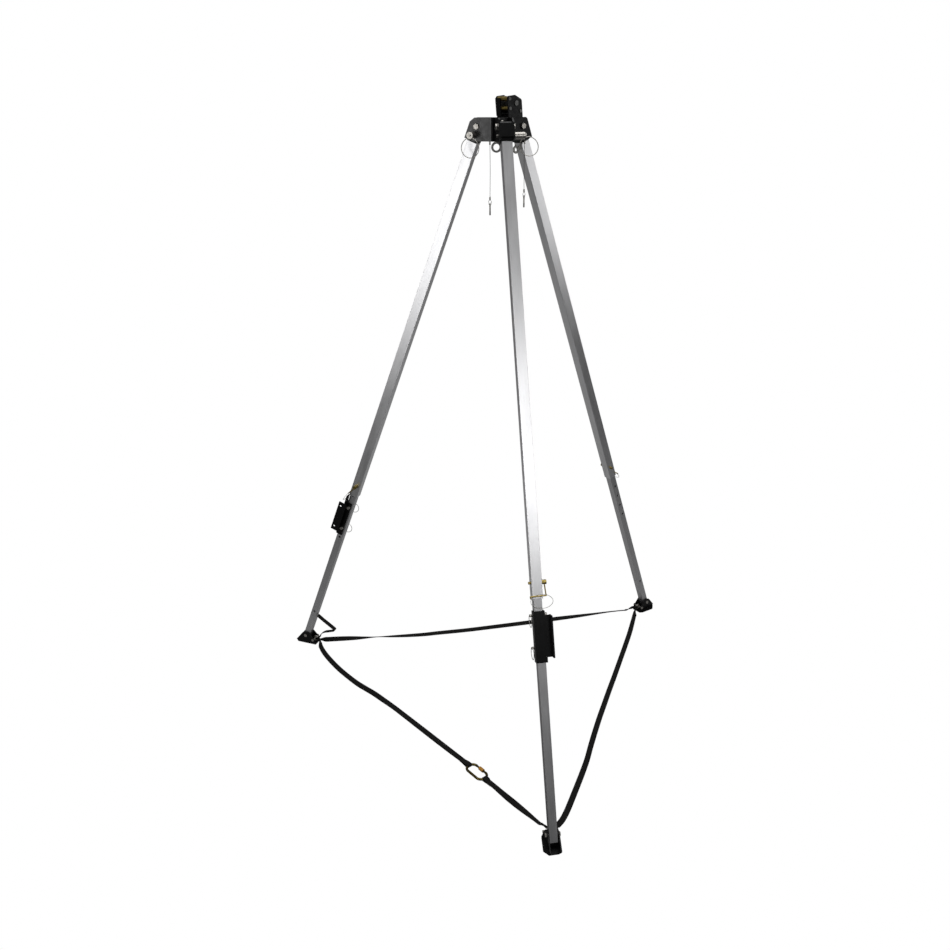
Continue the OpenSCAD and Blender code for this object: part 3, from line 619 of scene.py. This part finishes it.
WIRE_R = 0.0009
FERRULE_R, FERRULE_L = 0.003, 0.012
HITCH_RING_W, HITCH_RING_H = 0.012, 0.016
HITCH_R, HITCH_L = 0.0030, 0.042
HITCH_EYE_R, HITCH_EYE_WIRE_R = 0.0042, 0.0010
CLEVIS_HALF, LANYARD_GAP = 0.0237, 0.0003


def round_piece(bm, centre, r, z0, z1, chamfer=0.0006, sides=24):
    prof = [(0, z0), (r - chamfer, z0), (r, z0 + chamfer), (r, z1 - chamfer), (r - chamfer, z1), (0, z1)]
    rows = []
    for rr, z in prof:
        if rr == 0:
            rows.append([bm.verts.new(centre + Vector((0, 0, z)))])
        else:
            rows.append([bm.verts.new(centre + Vector((rr * math.cos(a), rr * math.sin(a), z)))
                         for a in around(sides)])
    for a, c in zip(rows, rows[1:]):
        for k in range(sides):
            q = (k + 1) % sides
            if len(a) == 1:
                bm.faces.new((a[0], c[k], c[q]))
            elif len(c) == 1:
                bm.faces.new((a[k], a[q], c[0]))
            else:
                bm.faces.new((a[k], a[q], c[q], c[k]))


def lanyard(side, top, wire_l, node, sway):
    e = radial(side)
    low = -wire_l - FERRULE_L
    pts = smooth_path([
        top + UP * -0.002, top + UP * (-0.25 * wire_l) + sway * 0.5, top + UP * (-0.5 * wire_l) + sway,
        top + UP * (-0.78 * wire_l) + sway * 0.5, top + UP * (low + 0.001)], 0.004)
    bm = bmesh.new()
    wire(bm, pts, WIRE_R)
    obj = mesh_object("lanyard_wire_" + side, bm, DARK_STEEL)
    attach(obj, "head")
    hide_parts(node)
    bm = bmesh.new()
    round_piece(bm, top, FERRULE_R, -FERRULE_L, 0.0)
    round_piece(bm, top, FERRULE_R, low, low + FERRULE_L)
    ring_mid = top + UP * (low - HITCH_RING_H / 2)
    wire(bm, [ring_mid + e * (HITCH_RING_W / 2 * math.cos(a)) + UP * (HITCH_RING_H / 2 * math.sin(a))
              for a in around(32)], WIRE_R, closed=True)
    ferrules = mesh_object("lanyard_ferrules_" + side, bm, STEEL)
    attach(ferrules, "head")
    bm = bmesh.new()
    pin_top = top + UP * (low - HITCH_RING_H)
    round_piece(bm, pin_top, HITCH_R, -HITCH_L, 0.0006, 0.0010)
    eye = [pin_top + e * (HITCH_EYE_R * math.sin(a)) + UP * (0.0002 + HITCH_EYE_R * math.cos(a)) for a in around(28)]
    wire(bm, eye, HITCH_EYE_WIRE_R, closed=True)
    pin = mesh_object("hitch_pin_" + side, bm, STEEL)
    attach(pin, "head")
    return pin


beside = CLEVIS_HALF + LANYARD_GAP + FERRULE_R
left_pin = lanyard("left", under_head("left", 0.034, beside), 0.204, "lanyard_left", Vector((0.0012, 0, 0)))
lanyard("right", under_head("right", 0.101, -beside), 0.181, "lanyard_right", Vector((-0.0010, 0, 0)))
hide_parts("hitch_pins")

# Thin wire loop hung on each bail, in front of the tube: centre and half sizes outward, across and down the leg
LOOP_X, LOOP_Y, LOOP_S = 0.0282, 0.013, PIN_Z + 0.069
LOOP_LEAN, LOOP_HALF_W, LOOP_HALF_H = 0.006, 0.043, 0.0255
for leg in AZIMUTH:
    bm = bmesh.new()
    wire(bm, [on_leg(leg, LOOP_X + LOOP_LEAN * math.sin(a), LOOP_Y + LOOP_HALF_W * math.cos(a),
                     LOOP_S + LOOP_HALF_H * math.sin(a)) for a in around(56)], 0.0010, closed=True, sides=10)
    loop = mesh_object("pin_loop_" + leg, bm, STEEL)
    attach(loop, "pin_bail_" + leg)

# Stage: a world that is white to the camera and a grey gradient to the metal, and a floor that only bounces light,
# so that folded legs, which reach below it, stay in view

# Floor greys: painted shade, dark at the front and lighter behind, which the metal and paint see in their
# reflections
FLOOR_PAINTED_SHADE = [(0.36, grey(0.12)), (0.52, grey(0.23)), (0.68, grey(0.50)), (0.9, grey(0.58))]
SKY_TONES = [(0.25, grey(0.06)), (0.46, grey(0.08)), (0.52, grey(0.11)), (0.62, grey(0.19)), (0.78, grey(0.24)),
             (1.0, grey(0.28))]


def mix_shaders(nt, fac, a, b, output):
    n = nt.nodes.new("ShaderNodeMixShader")
    nt.links.new(fac, n.inputs[0])
    nt.links.new(a.outputs[0], n.inputs[1])
    nt.links.new(b.outputs[0], n.inputs[2])
    nt.links.new(n.outputs[0], nt.nodes[output].inputs[0])


floor_bm = bmesh.new()
bmesh.ops.create_grid(floor_bm, x_segments=1, y_segments=1, size=40)
floor_material, nt, _ = new_material("floor")
rays = nt.nodes.new("ShaderNodeLightPath").outputs
clear = nt.nodes.new("ShaderNodeBsdfTransparent")
dull = nt.nodes.new("ShaderNodeBsdfDiffuse")
where = nt.nodes.new("ShaderNodeNewGeometry").outputs["Position"]
# Floor colour by depth: painted shade, darker towards the camera
depth = scaled(nt, dot(nt, where, (0, 1, 0)), 0.2, 0.5)
nt.links.new(ramp(nt, depth, FLOOR_PAINTED_SHADE), dull.inputs["Color"])
passing = math_node(nt, "MAXIMUM", rays["Is Camera Ray"], rays["Is Shadow Ray"])
mix_shaders(nt, passing, dull, clear, "Material Output")
floor = mesh_object("floor", floor_bm, floor_material, False)
floor.location.z = -0.001

world = bpy.data.worlds.new("world")
scene.world = world
world.use_nodes = True
nt = world.node_tree
sky = nt.nodes["Background"]
sky.inputs["Strength"].default_value = 1.0
direction = nt.nodes.new("ShaderNodeTexCoord").outputs["Generated"]
height = scaled(nt, dot(nt, direction, (0, 0, 1)), 0.5, 0.5)
nt.links.new(ramp(nt, height, SKY_TONES), sky.inputs["Color"])
white = nt.nodes.new("ShaderNodeBackground")
white.inputs["Color"].default_value = grey(1)
to_camera = nt.nodes.new("ShaderNodeLightPath").outputs["Is Camera Ray"]
mix_shaders(nt, to_camera, sky, white, "World Output")


def area(name, at, target, size, power):
    d = bpy.data.lights.new(name, "AREA")
    d.shape = "RECTANGLE"
    d.size, d.size_y = size
    d.energy = power
    o = bpy.data.objects.new(name, d)
    scene.collection.objects.link(o)
    o.location = at
    o.rotation_euler = (Vector(target) - Vector(at)).to_track_quat("-Z", "Y").to_euler()


area("flash", (0.75, -4.2, 2.95), (0.05, 0.0, 1.5), (1.1, 1.7), 22)
area("left_box", (-3.3, -2.2, 1.78), (-0.2, 0.3, 2.0), (1.2, 1.9), 23)
area("right_box", (4.0, -0.5, 2.2), (0.15, 0.35, 2.1), (1.2, 1.6), 11)
area("top_box", (0.2, 0.6, 5.4), (0, 0.2, 1.0), (3.0, 3.0), 70)

scene.view_settings.view_transform = "Standard"
scene.view_settings.look = "None"
